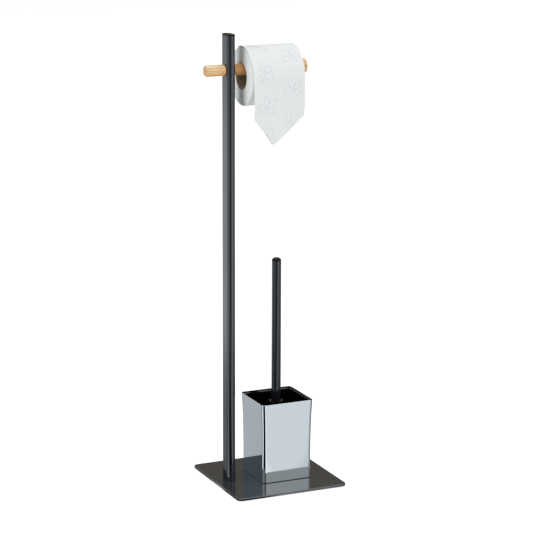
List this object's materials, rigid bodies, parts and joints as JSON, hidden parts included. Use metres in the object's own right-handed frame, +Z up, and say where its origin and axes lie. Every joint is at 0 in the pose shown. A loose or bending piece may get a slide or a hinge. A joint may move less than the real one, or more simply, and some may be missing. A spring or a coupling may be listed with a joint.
{
  "type": "toilet butler stand",
  "caption": "Free-standing toilet butler: a square steel plate with a flat-oval post, a wooden paper rod with a roll on it, and a polished brush holder with a lift-out liner and brush.",
  "frame": {"origin": "on the floor, at the centre of the object's outline seen from above", "axes": "+Z up, +X to the right along the paper rod, -Y is the front that the paper hangs on"},
  "size_m": [0.215, 0.2, 0.764],
  "materials": {
    "plate_paint": "smooth satin powder coat, warm dark grey",
    "dark_paint": "satin powder coat, anthracite",
    "polished_steel": "mirror-polished",
    "zinc_steel": "zinc-plated, satin",
    "black_plastic": "moulded, semi-gloss black",
    "bristle_plastic": "black plastic filaments",
    "foot_rubber": "matt, non-slip",
    "light_wood": "fine grain under clear satin lacquer",
    "core_cardboard": "plain cardboard tube",
    "tissue": "soft embossed tissue with a faint outline print"
  },
  "bodies": {
    "stand": {"base_plate": "plate_paint", "foot_pad_front_left": "foot_rubber", "foot_pad_front_right": "foot_rubber", "foot_pad_back_left": "foot_rubber", "foot_pad_back_right": "foot_rubber", "post_tube": "dark_paint", "post_top_cap": "black_plastic", "post_foot_block": "zinc_steel", "post_screw_front": "zinc_steel", "post_screw_back": "zinc_steel", "rod_peg": "light_wood", "paper_rod": "light_wood", "rod_screw": "zinc_steel", "holder_shell": "polished_steel", "holder_screw": "zinc_steel", "holder_washer": "zinc_steel", "holder_nut": "zinc_steel"},
    "liner": {"holder_liner": "black_plastic"},
    "brush": {"brush_handle_tube": "dark_paint", "brush_end_cap": "black_plastic", "brush_collar": "black_plastic", "brush_stud_insert": "zinc_steel", "brush_head_core": "black_plastic", "brush_bristles": "bristle_plastic"},
    "roll_carriage": {"paper_tail": "tissue"},
    "roll": {"roll_core": "core_cardboard", "paper_roll": "tissue"}
  },
  "joints": [
    {"name": "liner_lift", "type": "slide", "parent": "stand", "child": "liner", "axis": [0, 0, 1], "range_m": [0, 0.128]},
    {"name": "brush_lift", "type": "slide", "parent": "liner", "child": "brush", "axis": [0, 0, 1], "range_m": [0, 0.128]},
    {"name": "roll_slide", "type": "slide", "parent": "stand", "child": "roll_carriage", "axis": [1, 0, 0], "range_m": [-0.0148, 0.0148]},
    {"name": "roll_spin", "type": "hinge", "parent": "roll_carriage", "child": "roll", "pos_m": [0.0036, 0.0044, 0.6935], "axis": [1, 0, 0], "continuous": true}
  ]
}
